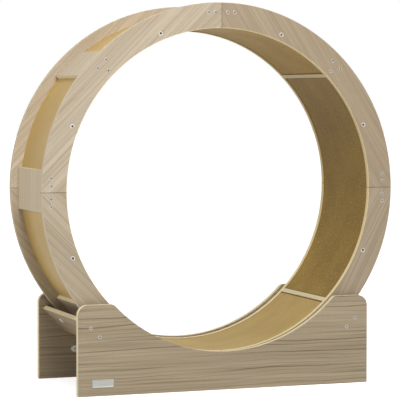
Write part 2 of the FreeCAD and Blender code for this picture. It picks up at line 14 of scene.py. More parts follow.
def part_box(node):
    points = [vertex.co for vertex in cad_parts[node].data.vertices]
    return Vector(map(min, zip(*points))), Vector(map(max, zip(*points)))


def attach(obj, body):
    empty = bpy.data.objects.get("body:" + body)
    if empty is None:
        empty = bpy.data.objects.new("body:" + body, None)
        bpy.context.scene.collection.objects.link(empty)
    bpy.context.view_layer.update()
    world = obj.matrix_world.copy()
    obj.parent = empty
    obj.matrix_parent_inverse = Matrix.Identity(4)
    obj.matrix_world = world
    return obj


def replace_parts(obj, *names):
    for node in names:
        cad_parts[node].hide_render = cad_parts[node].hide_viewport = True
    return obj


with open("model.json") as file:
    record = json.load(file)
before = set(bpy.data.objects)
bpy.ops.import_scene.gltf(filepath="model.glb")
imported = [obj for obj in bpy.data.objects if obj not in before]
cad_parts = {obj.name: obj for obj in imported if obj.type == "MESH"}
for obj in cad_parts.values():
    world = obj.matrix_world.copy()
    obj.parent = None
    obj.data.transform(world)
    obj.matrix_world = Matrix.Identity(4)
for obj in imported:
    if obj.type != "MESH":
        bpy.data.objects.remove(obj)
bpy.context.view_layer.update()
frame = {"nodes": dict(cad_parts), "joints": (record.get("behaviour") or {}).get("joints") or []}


# --- Rings -----------------------------------------------------------------------------------
# Each ring is four quarter segments sawn from 12 mm plywood, butted end to end at 3, 12, 9 and
# 6 o'clock. The faces are greyed oak veneer, its grain close to each segment's chord. The sawn
# edges show bare plies and the rim is greyed by the rollers. The inner edge and a narrow band of
# the face beside it are painted pale, as painted light where they lie in shade.

MM = 0.001
NEAR = 0.01 * MM
FLAT = math.radians(0.05)
HUB = Vector(frame["joints"][0]["pos_m"])
QUARTERS = {"upper_right": 0, "upper_left": 90, "lower_left": 180, "lower_right": 270}
RING_EASE = 1.2 * MM
EASE_ANGLE = math.radians(50)
RING_GRAIN = {"upper_right": 123, "upper_left": 45, "lower_left": 135, "lower_right": 63}
# Light tone of each quarter's veneer. The right-hand quarters are darker, partly a different sheet of veneer
# and partly painted shade for the weaker light on the right.
RING_LIGHT_WITH_PAINTED_SHADE = {
    "upper_right": (181, 163, 137),
    "upper_left": (206, 191, 168),
    "lower_left": (198, 183, 159),
    "lower_right": (186, 169, 145),
}
RING_DARK = (134, 115, 90)

# Growth lines: how far apart they are, how much they bend and how strong they are.
RING_LINES = {
    "upper_right": (7 * MM, 12, 0.5),
    "upper_left": (5 * MM, 6, 0.4),
    "lower_left": (5 * MM, 7, 0.42),
    "lower_right": (8 * MM, 14, 0.85),
}

# Degrees round the wheel to each metre along the sheet of veneer, so that no two pieces match.
RING_SHEET = 40

# Waves to the metre along the grain, into the board and across the grain.
SLOW_WAVES = (1.1, 2, 5)
RIPPLE_WAVES = (5, 5, 30)
FAINT_WAVES = (2.4, 3, 20)
FIBRE_WAVES = (9, 90, 480)
PORE_WAVES = (60, 400, 1500)
GRIT_WAVES = (600, 900, 600)
STRAND_WAVES = (40, 1500, 40)
RIPPLE_SHARE = 1.5
LATE_RISE = (0.62, 0.95)
LATE_FALL = (1.0, 0.96)
YEAR_LEAST = 0.15
FAINT_RANGE = (0.36, 0.62)
FAINT_LEAST = 0.12
TONE_START = -0.18
FIBRE_SHARE = 0.30
FIBRE_RISE = 0.5

# Changes of tone: their waves and detail, the range of the noise that counts, and their share.
GRAIN_TONES = {
    "band": ((1.5, 6, 52), 2, 0.35, 0.65, 0.15),
    "streak": ((2.2, 10, 190), 3, 0.3, 0.7, 0.28),
    "broad": ((0.9, 3, 9), 2, 0.3, 0.7, 0.12),
}
PORE_RANGE = (0.60, 0.72)
PORE_COLOR = (92, 76, 58)
PORE_SHARE = 0.16
PORE_SINK = 0.7
VENEER = 0.5 * MM
VENEER_RELIEF = 0.06 * MM
VENEER_ROUGH = 0.58
VENEER_SHINE = 0.35

PLY = 1.6 * MM
PLY_LIGHT = (244, 230, 192)
PLY_DARK = (212, 192, 146)
PLY_TURN = (0.22, 0.28)
TURNED_SHARE = 0.5
STRAND_SHARE = 0.45
GRIT_SHARE = 0.25
PLY_LIFT = 0.12

# Painted light: the bore's bare plies and a narrow band of the face beside them turned pale, where they lie
# in shade.
RING_BORE_PAINTED_LIGHT = (238, 220, 170)
BORE_LIGHT_WIDTH = 1.4 * MM
BORE_LIGHT_FADE = 1 * MM
RIM_WORN = (196, 180, 154)
RIM_FROM = 1.4 * MM
RIM_TO = 0.8 * MM
SEAM_DARK = (84, 68, 48)
SEAM_HALF = 1.1 * MM
SEAM_CORE = 0.3 * SEAM_HALF
SEAM_SHARE = 0.8
END_FROM = 2.6 * MM
END_TO = 0.8 * MM
END_SHARE = 0.6


def paint(color):
    """An sRGB colour of 0 to 255 as Blender's linear colour."""
    linear = []
    for level in color:
        share = level / 255
        linear.append(share / 12.92 if share < 0.04045 else ((share + 0.055) / 1.055) ** 2.4)
    return (*linear, 1)


def feed(tree, socket, given):
    """Give an input its value, or join it to another node's output."""
    if isinstance(given, bpy.types.NodeSocket):
        tree.links.new(given, socket)
    else:
        socket.default_value = given


def add(tree, kind, inputs=None, **settings):
    """A shader node with its settings, whose inputs are given as values or as other nodes' outputs."""
    item = tree.nodes.new(f"ShaderNode{kind}")
    for name, setting in settings.items():
        setattr(item, name, setting)
    for key, given in (inputs or {}).items():
        feed(tree, item.inputs[key], given)
    return item


def here(tree):
    """The place on the surface while the wheel is at rest, in metres."""
    return add(tree, "TexCoord").outputs["Object"]


def axes_of(tree, place):
    """The three parts of a place."""
    return add(tree, "SeparateXYZ", {0: place}).outputs


def math_node(tree, operation, first, second=0.0, third=0.0):
    """One sum of numbers."""
    return add(tree, "Math", {0: first, 1: second, 2: third}, operation=operation).outputs[0]


def mix_colors(tree, share, first, second):
    """Two colours mixed by a share."""
    return add(tree, "Mix", {0: share, 6: first, 7: second}, data_type="RGBA").outputs[2]


def rescale(tree, level, low, high, to_low=0.0, to_high=1.0):
    """A level moved smoothly from one range into another."""
    inputs = {0: level, 1: low, 2: high, 3: to_low, 4: to_high}
    return add(tree, "MapRange", inputs, interpolation_type="SMOOTHSTEP").outputs[0]


def noise(tree, place, waves, detail):
    """Noise with so many waves to the metre along each axis."""
    scaled = add(tree, "VectorMath", {0: place, 1: waves}, operation="MULTIPLY").outputs[0]
    return add(tree, "TexNoise", {"Vector": scaled, "Scale": 1.0, "Detail": detail}).outputs[0]


def start_group(name, inputs, outputs):
    """An empty node group with its sockets, and its two ends."""
    group = bpy.data.node_groups.new(name, "ShaderNodeTree")
    for direction, sockets in (("INPUT", inputs), ("OUTPUT", outputs)):
        for label, kind in sockets.items():
            group.interface.new_socket(label, in_out=direction, socket_type=f"NodeSocket{kind}")
    return group, group.nodes.new("NodeGroupInput").outputs, group.nodes.new("NodeGroupOutput").inputs


def make_veneer_group():
    """Sliced wood: thin wandering growth lines, fibres, pores and broad changes of tone.

    Place is in metres: x along the grain, y into the board and z across it. The lines are the
    contours of a slope across the board, bent by slow noise, so that they swing and close in arches.
    """
    inputs = {
        "Place": "Vector", "Light": "Color", "Dark": "Color",
        "Line spacing": "Float", "Bend": "Float", "Line strength": "Float",
    }
    group, given, result = start_group("Veneer", inputs, {"Color": "Color", "Height": "Float"})
    place = given["Place"]
    slope = math_node(group, "DIVIDE", axes_of(group, place)["Z"], given["Line spacing"])
    slow = math_node(group, "SUBTRACT", noise(group, place, SLOW_WAVES, 1), 0.5)
    slope = math_node(group, "MULTIPLY_ADD", slow, given["Bend"], slope)
    ripple = noise(group, place, RIPPLE_WAVES, 2)
    slope = math_node(group, "MULTIPLY_ADD", ripple, RIPPLE_SHARE, slope)
    ring = math_node(group, "FRACT", slope)
    year = math_node(group, "FLOOR", slope)
    chance = add(group, "TexWhiteNoise", {"W": year}, noise_dimensions="1D").outputs["Value"]
    late = math_node(group, "MULTIPLY", rescale(group, ring, *LATE_RISE), rescale(group, ring, *LATE_FALL))
    late = math_node(group, "MULTIPLY", late, rescale(group, chance, 0.0, 1.0, YEAR_LEAST, 1.0))
    faint = rescale(group, noise(group, place, FAINT_WAVES, 1), *FAINT_RANGE, FAINT_LEAST, 1.0)
    late = math_node(group, "MULTIPLY", late, faint)
    late = math_node(group, "MULTIPLY", late, given["Line strength"])
    fibre = noise(group, place, FIBRE_WAVES, 3)
    tone = math_node(group, "MULTIPLY_ADD", fibre, FIBRE_SHARE, TONE_START)
    for waves, detail, low, high, share in GRAIN_TONES.values():
        change = rescale(group, noise(group, place, waves, detail), low, high)
        tone = math_node(group, "MULTIPLY_ADD", change, share, tone)
    tone = add(group, "Math", {0: tone, 1: late}, operation="ADD", use_clamp=True).outputs[0]
    pores = rescale(group, noise(group, place, PORE_WAVES, 1), *PORE_RANGE)
    color = mix_colors(group, tone, given["Light"], given["Dark"])
    shade = math_node(group, "MULTIPLY", pores, PORE_SHARE)
    color = mix_colors(group, shade, color, paint(PORE_COLOR))
    raised = math_node(group, "MULTIPLY", fibre, FIBRE_RISE)
    height = math_node(group, "MULTIPLY_ADD", pores, -PORE_SINK, raised)
    group.links.new(color, result["Color"])
    group.links.new(height, result["Height"])
    return group


def make_plies_group():
    """The sawn edge of plywood between its two face veneers, by the depth from the board's middle."""
    inputs = {"Place": "Vector", "Half": "Float", "Face": "Color", "Face height": "Float"}
    group, given, result = start_group("Plies", inputs, {"Color": "Color", "Height": "Float"})
    depth = math_node(group, "ABSOLUTE", axes_of(group, given["Place"])["Y"])
    layer = math_node(group, "FRACT", math_node(group, "DIVIDE", depth, 2 * PLY))
    turned_ply = rescale(group, math_node(group, "PINGPONG", layer, 0.5), *PLY_TURN)
    grit = noise(group, given["Place"], GRIT_WAVES, 3)
    strand = noise(group, given["Place"], STRAND_WAVES, 2)
    tone = math_node(group, "MULTIPLY", strand, STRAND_SHARE)
    tone = math_node(group, "MULTIPLY_ADD", turned_ply, TURNED_SHARE, tone)
    tone = math_node(group, "MULTIPLY_ADD", grit, GRIT_SHARE, math_node(group, "SUBTRACT", tone, PLY_LIFT))
    color = mix_colors(group, tone, paint(PLY_LIGHT), paint(PLY_DARK))
    room = math_node(group, "SUBTRACT", given["Half"], VENEER)
    face = math_node(group, "GREATER_THAN", depth, room)
    color = mix_colors(group, face, color, given["Face"])
    rough = math_node(group, "MULTIPLY", grit, math_node(group, "SUBTRACT", 1.0, face))
    height = math_node(group, "MULTIPLY_ADD", given["Face height"], face, rough)
    group.links.new(color, result["Color"])
    group.links.new(height, result["Height"])
    return group


def make_around_group():
    """Places on the wheel's curve: metres round the rim, from the hub and along the axle."""
    outputs = {"Round": "Float", "Radius": "Float", "Axle": "Float", "Place": "Vector"}
    group, given, result = start_group("Around the hub", {"Where": "Vector"}, outputs)
    from_hub = add(group, "VectorMath", {0: given["Where"], 1: HUB}, operation="SUBTRACT").outputs[0]
    axes = axes_of(group, from_hub)
    squares = math_node(group, "MULTIPLY", axes["X"], axes["X"])
    squares = math_node(group, "MULTIPLY_ADD", axes["Z"], axes["Z"], squares)
    radius = math_node(group, "SQRT", squares)
    turn = math_node(group, "ARCTAN2", axes["Z"], axes["X"])
    rim = math_node(group, "MULTIPLY", turn, radius)
    place = add(group, "CombineXYZ", {0: rim, 1: radius, 2: axes["Y"]}).outputs[0]
    group.links.new(rim, result["Round"])
    group.links.new(radius, result["Radius"])
    group.links.new(axes["Y"], result["Axle"])
    group.links.new(place, result["Place"])
    return group


veneer_group = make_veneer_group()
plies_group = make_plies_group()
around_group = make_around_group()


def around_hub(tree):
    """The outputs of the group that unrolls the wheel."""
    return add(tree, "Group", {"Where": here(tree)}, node_tree=around_group).outputs


def start_material(name):
    """A material with its Principled shader, ready to be wired."""
    material = bpy.data.materials.new(name)
    material.use_nodes = True
    return material, material.node_tree, material.node_tree.nodes["Principled BSDF"]


def finish_surface(tree, shader, color, height, depth, roughness):
    """Join a colour, a roughness and a relief to the shader; the relief is so deep, in metres."""
    relief = add(tree, "Bump", {"Height": height, "Distance": depth, "Strength": 1.0})
    tree.links.new(color, shader.inputs["Base Color"])
    tree.links.new(relief.outputs["Normal"], shader.inputs["Normal"])
    feed(tree, shader.inputs["Roughness"], roughness)


def board_place(tree, turn, axes, middle, shift):
    """Places within a board: along its grain, from its middle layer and across the grain.

    The wheel is turned back by an angle, then axes names the three directions in that order.
    """
    back = Euler((0, math.radians(turn), 0))
    home = -(back.to_matrix() @ HUB)
    inputs = {"Vector": here(tree), "Rotation": back, "Location": home}
    turned = axes_of(tree, add(tree, "Mapping", inputs).outputs[0])
    along = math_node(tree, "ADD", turned[axes[0]], shift)
    depth = math_node(tree, "SUBTRACT", math_node(tree, "ABSOLUTE", turned[axes[1]]), middle)
    return add(tree, "CombineXYZ", {0: along, 1: depth, 2: turned[axes[2]]}).outputs[0]


def sliced_wood(tree, place, light, dark, lines):
    """A board's face in two tones, with growth lines of a spacing, bend and strength."""
    spacing, bend, strength = lines
    inputs = {
        "Place": place, "Light": paint(light), "Dark": paint(dark),
        "Line spacing": spacing, "Bend": bend, "Line strength": strength,
    }
    return add(tree, "Group", inputs, node_tree=veneer_group).outputs


def ring_edges(tree, color, bore, rim):
    """A ring's inner edge and the face beside it painted pale as painted light, its rim greyed by the rollers
    and its butt joints dark.
    """
    radius = around_hub(tree)["Radius"]
    # Painted light along the bore, over its edge and the face beside it.
    bare = rescale(tree, radius, bore + BORE_LIGHT_WIDTH, bore + BORE_LIGHT_WIDTH - BORE_LIGHT_FADE)
    color = mix_colors(tree, bare, color, paint(RING_BORE_PAINTED_LIGHT))
    worn = rescale(tree, radius, rim - RIM_FROM, rim - RIM_TO)
    color = mix_colors(tree, worn, color, paint(RIM_WORN))
    axes = axes_of(tree, here(tree))
    level = math_node(tree, "ABSOLUTE", math_node(tree, "SUBTRACT", axes["Z"], HUB.z))
    aside = math_node(tree, "ABSOLUTE", axes["X"])
    nearest = math_node(tree, "MINIMUM", level, aside)
    joint = rescale(tree, nearest, SEAM_HALF, SEAM_CORE, 0.0, SEAM_SHARE)
    return mix_colors(tree, joint, color, paint(SEAM_DARK))


def veneered_board(name, turn, axes, middle, half, light, dark, lines, shift, radii=None, reach=None):
    """Plywood with veneered faces and bare edges.

    A ring segment's is given the radii of its two edges, and that of a board between the rings its
    reach to either side, where it is dark along the joint.
    """
    material, tree, shader = start_material(name)
    place = board_place(tree, turn, axes, middle, shift)
    face = sliced_wood(tree, place, light, dark, lines)
    inputs = {"Place": place, "Half": half, "Face": face["Color"], "Face height": face["Height"]}
    board = add(tree, "Group", inputs, node_tree=plies_group).outputs
    color = board["Color"]
    if radii:
        color = ring_edges(tree, color, *radii)
    if reach:
        nearness = math_node(tree, "ABSOLUTE", axes_of(tree, place)["Z"])
        joint = rescale(tree, nearness, reach - END_FROM, reach - END_TO, 0.0, END_SHARE)
        color = mix_colors(tree, joint, color, paint(SEAM_DARK))
    finish_surface(tree, shader, color, board["Height"], VENEER_RELIEF, VENEER_ROUGH)
    shader.inputs["Specular IOR Level"].default_value = VENEER_SHINE
    return material


def select_only(piece):
    """Make one object the only one that operators act on."""
    bpy.ops.object.select_all(action="DESELECT")
    piece.select_set(True)
    bpy.context.view_layer.objects.active = piece


def apply_modifier(piece, kind, **settings):
    """Finish a piece with one modifier and make it part of the mesh."""
    modifier = piece.modifiers.new(kind.title(), kind)
    for name, setting in settings.items():
        setattr(modifier, name, setting)
    select_only(piece)
    bpy.ops.object.modifier_apply(modifier=modifier.name)


def ease_edges(piece, width, angle, segments=3, **settings):
    """Round every edge that is sharper than an angle."""
    apply_modifier(
        piece, "BEVEL", width=width, segments=segments, limit_method="ANGLE", angle_limit=angle,
        **settings,
    )


def dress(piece, material, body):
    """Give a piece its material, and the body that it moves with."""
    piece.data.materials.clear()
    piece.data.materials.append(material)
    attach(piece, body)


def eased(node, name, ease, material, body):
    """A board in the place of its solid, with its sawn edges sanded round."""
    piece = bpy.data.objects.new(name, frame["nodes"][node].data.copy())
    bpy.context.scene.collection.objects.link(piece)
    select_only(piece)
    bpy.ops.object.mode_set(mode="EDIT")
    bpy.ops.mesh.select_all(action="SELECT")
    bpy.ops.mesh.remove_doubles(threshold=NEAR)
    bpy.ops.mesh.customdata_custom_splitnormals_clear()
    bpy.ops.mesh.mark_sharp(clear=True)
    bpy.ops.mesh.dissolve_limited(angle_limit=FLAT)
    bpy.ops.object.mode_set(mode="OBJECT")
    bpy.ops.object.shade_smooth()
    ease_edges(piece, ease, EASE_ANGLE, harden_normals=True)
    dress(piece, material, body)
    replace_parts(piece, node)
    return piece


ring_low, ring_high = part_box("rear_ring_upper_right")
ring_middle = (ring_low.y + ring_high.y) / 2
ring_half = (ring_high.y - ring_low.y) / 2
ring_corners = frame["nodes"]["rear_ring_upper_right"].data.vertices
rim_radius = ring_high.z - HUB.z
bore_radius = min(math.hypot(corner.co.x, corner.co.z - HUB.z) for corner in ring_corners)
for quarter, grain in RING_GRAIN.items():
    ring_veneer = veneered_board(
        f"ring veneer {quarter}", grain, "XYZ", ring_middle, ring_half, RING_LIGHT_WITH_PAINTED_SHADE[quarter], RING_DARK,
        RING_LINES[quarter], QUARTERS[quarter] / RING_SHEET, radii=(bore_radius, rim_radius),
    )
    for side in ("front", "rear"):
        eased(
            f"{side}_ring_{quarter}", f"{side}_ring_{quarter}_board", RING_EASE, ring_veneer,
            "wheel",
        )


# --- Seam plates and diagonal plates ---------------------------------------------------------
# Short veneered boards laid across the outer skin from ring to ring. A seam plate ties two ring
# segments together, a diagonal plate stiffens the middle of a segment. The grain runs round the
# wheel, and the long edges are bare plywood.

SIDES = {"right": 0, "top": 90, "left": 180, "bottom": 270}
PLATE_EASE = 0.8 * MM
PLATE_THICK = 11 * MM
PLATE_LIGHT = (206, 190, 162)
PLATE_DARK = (172, 154, 124)
PLATE_LINES = (12 * MM, 3, 0.5)
PLATE_SHEET = 70
DIAGONAL_LIGHT = (194, 179, 154)
DIAGONAL_DARK = (160, 144, 118)
DIAGONAL_LINES = (14 * MM, 2, 0.3)
DIAGONAL_SHEET = 50
DIAGONAL_START = 3

plate_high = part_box("right_seam_plate")[1]
plate_middle = plate_high.x - HUB.x - PLATE_THICK / 2
for word, angle in SIDES.items():
    plate_veneer = veneered_board(
        f"seam plate veneer {word}", angle, "ZXY", plate_middle, PLATE_THICK / 2, PLATE_LIGHT,
        PLATE_DARK, PLATE_LINES, angle / PLATE_SHEET, reach=plate_high.y,
    )
    eased(
        f"{word}_seam_plate", f"{word}_seam_plate_board", PLATE_EASE, plate_veneer,
        "wheel",
    )
for word, angle in QUARTERS.items():
    plate_veneer = veneered_board(
        f"diagonal plate veneer {word}", angle + 45, "ZXY", plate_middle, PLATE_THICK / 2,
        DIAGONAL_LIGHT, DIAGONAL_DARK, DIAGONAL_LINES, angle / DIAGONAL_SHEET + DIAGONAL_START,
        reach=plate_high.y,
    )
    eased(
        f"{word}_diagonal_plate", f"{word}_diagonal_plate_board", PLATE_EASE, plate_veneer,
        "wheel",
    )


# --- Slats -----------------------------------------------------------------------------------
# Narrow plywood strips set on edge between the track panels, so that the bare plies show as a
# pale strip across the running surface.

SLAT_EASE = 0.7 * MM
SLAT_THICK = 12 * MM
SLAT_LINES = (10 * MM, 2, 0.2)
SLAT_SHEET = 60

for word, angle in QUARTERS.items():
    slat_wood = veneered_board(
        f"slat wood {word}", angle + 45, "YZX", 0, SLAT_THICK / 2, PLY_LIGHT, PLY_DARK,
        SLAT_LINES, angle / SLAT_SHEET,
    )
    eased(f"{word}_slat", f"{word}_slat_strip", SLAT_EASE, slat_wood, "wheel")


# --- Track panels ----------------------------------------------------------------------------
# The running surface: thin hardboard bent round inside the ribs, from each seam to the slats
# beside it. Its meshed side faces in for grip: a fine brown weave with pale specks of fibre,
# painted shade in the weave's hollows and a line of painted shade along each slat. The sheets of
# the bottom section are smoother. The right-hand sheets are painted darker and the bottom ones
# paler, partly sheets that differ and partly painted shade and light.

TRACK_EASE = 0.4 * MM
# Each side's two browns. The right-hand sheets are darker and the bottom ones paler, partly sheets that
# differ and partly painted shade and painted light for how light falls inside the wheel.
TRACK_TONES_WITH_PAINTED_SHADE = {
    "right": ((165, 134, 53), (130, 100, 30)),
    "top": ((194, 160, 72), (158, 124, 44)),
    "left": ((184, 151, 76), (148, 115, 46)),
    "bottom": ((199, 170, 102), (174, 146, 84)),
}
TRACK_COARSE = {"right": 1.0, "top": 1.0, "left": 1.0, "bottom": 0.35}

# Waves to the metre round the wheel, into the board and along the axle.
TRACK_CLOUD = (9, 9, 14)
TRACK_GRAIN = (260, 260, 420)
CLOUD_RANGE = (0.3, 0.7)
CLOUD_SHARE = 0.45
GRAIN_SHARE = 0.5

# Specks of fibre and pits: their waves, the range of the noise that counts, share and colour.
TRACK_SPECKS = ((260, 260, 260), 0.6, 0.74, 0.75, (214, 190, 132))
TRACK_PITS = ((300, 240, 300), 0.42, 0.3, 0.5, (96, 72, 30))
MESH_PITCH = 3.0 * MM
MESH_RISE = 0.5
MESH_HOLLOW = (-0.2, -1.0)
# Painted shade in the hollows of the weave: how much, and its colour.
HOLLOW_SHADE_SHARE = 0.35
HOLLOW_SHADE_COLOR = (96, 74, 34)
# Painted shade: a dark line on the sheets beside each slat, where the slat's edge shades them.
TRACK_GAP_SHADE = (58, 42, 20)
GAP_SHADE_FROM = 6 * MM
GAP_SHADE_TO = 11 * MM
TRACK_RELIEF = 0.14 * MM
TRACK_ROUGH = 0.6
TRACK_SHINE = 0.3


def make_track_board(name, brown, deep, coarse):
    """Hardboard with its meshed side up, with painted shade in the weave's hollows and along the slats."""
    material, tree, shader = start_material(name)
    unrolled = around_hub(tree)
    place = unrolled["Place"]
    waves = []
    for way in ("Round", "Axle"):
        phase = math_node(tree, "MULTIPLY", unrolled[way], 2 * math.pi / MESH_PITCH)
        waves.append(math_node(tree, "SINE", phase))
    weave = math_node(tree, "MULTIPLY", waves[0], waves[1])
    cloud = rescale(tree, noise(tree, place, TRACK_CLOUD, 4), *CLOUD_RANGE)
    grain = noise(tree, place, TRACK_GRAIN, 3)
    tone = math_node(tree, "MULTIPLY", grain, GRAIN_SHARE)
    tone = math_node(tree, "MULTIPLY_ADD", cloud, CLOUD_SHARE, tone)
    color = mix_colors(tree, tone, paint(brown), paint(deep))
    for mark_waves, low, high, share, mark in (TRACK_SPECKS, TRACK_PITS):
        spot = rescale(tree, noise(tree, place, mark_waves, 1), low, high)
        color = mix_colors(tree, math_node(tree, "MULTIPLY", spot, share * coarse), color, paint(mark))
    # Painted shade in the weave's hollows.
    hollow = math_node(tree, "MULTIPLY", rescale(tree, weave, *MESH_HOLLOW), HOLLOW_SHADE_SHARE * coarse)
    color = mix_colors(tree, hollow, color, paint(HOLLOW_SHADE_COLOR))
    # Painted shade, darker the nearer a slat's diagonal.
    axes = axes_of(tree, here(tree))
    level = math_node(tree, "SUBTRACT", axes["Z"], HUB.z)
    falling = math_node(tree, "ABSOLUTE", math_node(tree, "ADD", axes["X"], level))
    rising = math_node(tree, "ABSOLUTE", math_node(tree, "SUBTRACT", axes["X"], level))
    gap = math_node(tree, "MULTIPLY", math_node(tree, "MINIMUM", falling, rising), math.sqrt(0.5))
    color = mix_colors(tree, rescale(tree, gap, GAP_SHADE_TO, GAP_SHADE_FROM), color, paint(TRACK_GAP_SHADE))
    height = math_node(tree, "MULTIPLY_ADD", weave, MESH_RISE, grain)
    finish_surface(tree, shader, color, height, TRACK_RELIEF * coarse, TRACK_ROUGH)
    shader.inputs["Specular IOR Level"].default_value = TRACK_SHINE
    return material


for word in SIDES:
    track_board = make_track_board(f"track hardboard {word}", *TRACK_TONES_WITH_PAINTED_SHADE[word], TRACK_COARSE[word])
    for place in ("after", "before"):
        node = f"{word}_track_panel_{place}"
        eased(node, f"{node}_sheet", TRACK_EASE, track_board, "wheel")


# --- Outer skins -----------------------------------------------------------------------------
# The same thin hardboard round the outside of the ribs, one sheet to a quarter, with its smooth
# golden side out.

SKIN_EASE = 0.4 * MM
SKIN_GOLD = (191, 160, 93)
SKIN_DEEP = (167, 136, 73)
SKIN_CLOUD = (5, 5, 9)
SKIN_FIBRE = (330, 330, 330)
SKIN_SHARE = 0.5
SKIN_RELIEF = 0.02 * MM
SKIN_ROUGH = 0.5


def make_skin_board():
    """Hardboard with its smooth side out."""
    material, tree, shader = start_material("skin hardboard")
    place = around_hub(tree)["Place"]
    cloud = rescale(tree, noise(tree, place, SKIN_CLOUD, 4), *CLOUD_RANGE)
    fibre = noise(tree, place, SKIN_FIBRE, 3)
    tone = math_node(tree, "MULTIPLY", fibre, SKIN_SHARE)
    tone = math_node(tree, "MULTIPLY_ADD", cloud, SKIN_SHARE, tone)
    color = mix_colors(tree, tone, paint(SKIN_GOLD), paint(SKIN_DEEP))
    finish_surface(tree, shader, color, fibre, SKIN_RELIEF, SKIN_ROUGH)
    return material


skin_board = make_skin_board()
for word in QUARTERS:
    node = f"{word}_outer_skin"
    eased(node, f"{node}_sheet", SKIN_EASE, skin_board, "wheel")


# --- Ribs ------------------------------------------------------------------------------------
# Planed pine battens between the two skins, one behind each bolt of the front ring. The skins
# are glued to them, so little of them shows.

RIB_LIGHT = (222, 196, 148)
RIB_DARK = (190, 158, 106)
RIB_LINES = (6 * MM, 3, 0.6)
RIB_RELIEF = 0.05 * MM
RIB_ROUGH = 0.6


def make_rib_wood():
    """Planed pine with its grain along the axle."""
    material, tree, shader = start_material("rib pine")
    axes = axes_of(tree, here(tree))
    place = add(tree, "CombineXYZ", {0: axes["Y"], 1: axes["X"], 2: axes["Z"]}).outputs[0]
    wood = sliced_wood(tree, place, RIB_LIGHT, RIB_DARK, RIB_LINES)
    finish_surface(tree, shader, wood["Color"], wood["Height"], RIB_RELIEF, RIB_ROUGH)
    return material


frame["nodes"]["track_ribs"].material_slots[0].material = make_rib_wood()


# --- Wood screws -----------------------------------------------------------------------------
# Zinc-plated countersunk screws with a cross recess, driven flush. Those through the rings go
# into the ends of the plates and slats, those through the side panels into the cross boards.

SCREW_TONES = ((188, 184, 175), (160, 155, 145))
SCREW_METAL = 0.5
# Painted shade: the faces inside a head's recess are given darker metal.
RECESS_SHADE_TONES = ((112, 105, 95), (84, 78, 70))
RECESS_SHADE_METAL = 0.3
STAIN_WAVES = (160, 160, 160)
STAIN_RANGE = (0.4, 0.75)
SCRATCH_WAVES = (2500, 2500, 300)
METAL_ROUGH = 0.3
STAIN_ROUGH = 0.22
SCRATCH_ROUGH = 0.12
METAL_RELIEF = 0.01 * MM

UP = Vector((0, 0, 1))
DOWN = Vector((0, 0, -1))
FRONT = Vector((0, -1, 0))
LOOKING = 0.9
SCREW_HEAD_RADIUS = 4.8 * MM
SCREW_SHANK_RADIUS = 2 * MM
SCREW_HEAD_HEIGHT = 2.4 * MM
SCREW_LAND = 0.5 * MM
SCREW_LENGTH = 39 * MM
SCREW_SINK = 0.25 * MM
TIP_SHARE = 0.4
HEAD_RIM = 0.35 * MM
HEAD_RISE = 0.12 * MM
SCREW_RECESS = {
    "length": 1.15 * SCREW_HEAD_RADIUS, "width": 1.3 * MM, "floor": -2.0 * MM, "top": 0.6 * MM, "taper": 0.45,
}
FASTENER_SMOOTH = math.radians(28)

# How far from the middle of a head, and between which levels, the faces are those of its recess.
SCREW_HOLLOW = {"reach": 2.9 * MM, "lowest": -2.5 * MM, "highest": -0.2 * MM}


def make_metal_group():
    """Plated steel: fine scratches, and stains that are duller and rougher."""
    inputs = {"Place": "Vector", "Clean": "Color", "Dull": "Color"}
    outputs = {"Color": "Color", "Roughness": "Float", "Height": "Float"}
    group, given, result = start_group("Plated steel", inputs, outputs)
    stain = rescale(group, noise(group, given["Place"], STAIN_WAVES, 3), *STAIN_RANGE)
    scratch = noise(group, given["Place"], SCRATCH_WAVES, 2)
    color = mix_colors(group, stain, given["Clean"], given["Dull"])
    roughness = math_node(group, "MULTIPLY_ADD", stain, STAIN_ROUGH, METAL_ROUGH)
    roughness = math_node(group, "MULTIPLY_ADD", scratch, SCRATCH_ROUGH, roughness)
    group.links.new(color, result["Color"])
    group.links.new(roughness, result["Roughness"])
    group.links.new(scratch, result["Height"])
    return group


metal_group = make_metal_group()


def metal(name, tones, metallic):
    """Plated or bare metal in two tones, clean and dull."""
    material, tree, shader = start_material(name)
    inputs = {"Place": here(tree), "Clean": paint(tones[0]), "Dull": paint(tones[1])}
    surface = add(tree, "Group", inputs, node_tree=metal_group).outputs
    finish_surface(tree, shader, surface["Color"], surface["Height"], METAL_RELIEF, surface["Roughness"])
    shader.inputs["Metallic"].default_value = metallic
    return material


def solid_boxes(node):
    """Lowest and highest corner of each separate solid in a CAD node."""
    mesh = bmesh.new()
    mesh.from_mesh(frame["nodes"][node].data)
    bmesh.ops.remove_doubles(mesh, verts=mesh.verts, dist=NEAR)
    left = set(mesh.verts)
    boxes = []
    while left:
        island = set()
        edge = [next(iter(left))]
        while edge:
            corner = edge.pop()
            if corner in island:
                continue
            island.add(corner)
            edge += [line.other_vert(corner) for line in corner.link_edges]
        left -= island
        low = Vector(min(v.co[axis] for v in island) for axis in range(3))
        high = Vector(max(v.co[axis] for v in island) for axis in range(3))
        boxes.append((low, high))
    mesh.free()
    return sorted(boxes, key=lambda box: tuple(round(c, 5) for c in box[0]))


def head_places(node, below, outward=1):
    """Where fasteners along the axle go: the point below the top of each head, and its way out.

    Heads face away from the middle of the wheel, or towards it where outward is -1.
    """
    places = []
    for low, high in solid_boxes(node):
        middle = (low + high) / 2
        way = outward * math.copysign(1, middle.y)
        face = high.y if way > 0 else low.y
        places.append((Vector((middle.x, face - way * below, middle.z)), Vector((0, way, 0))))
    return places


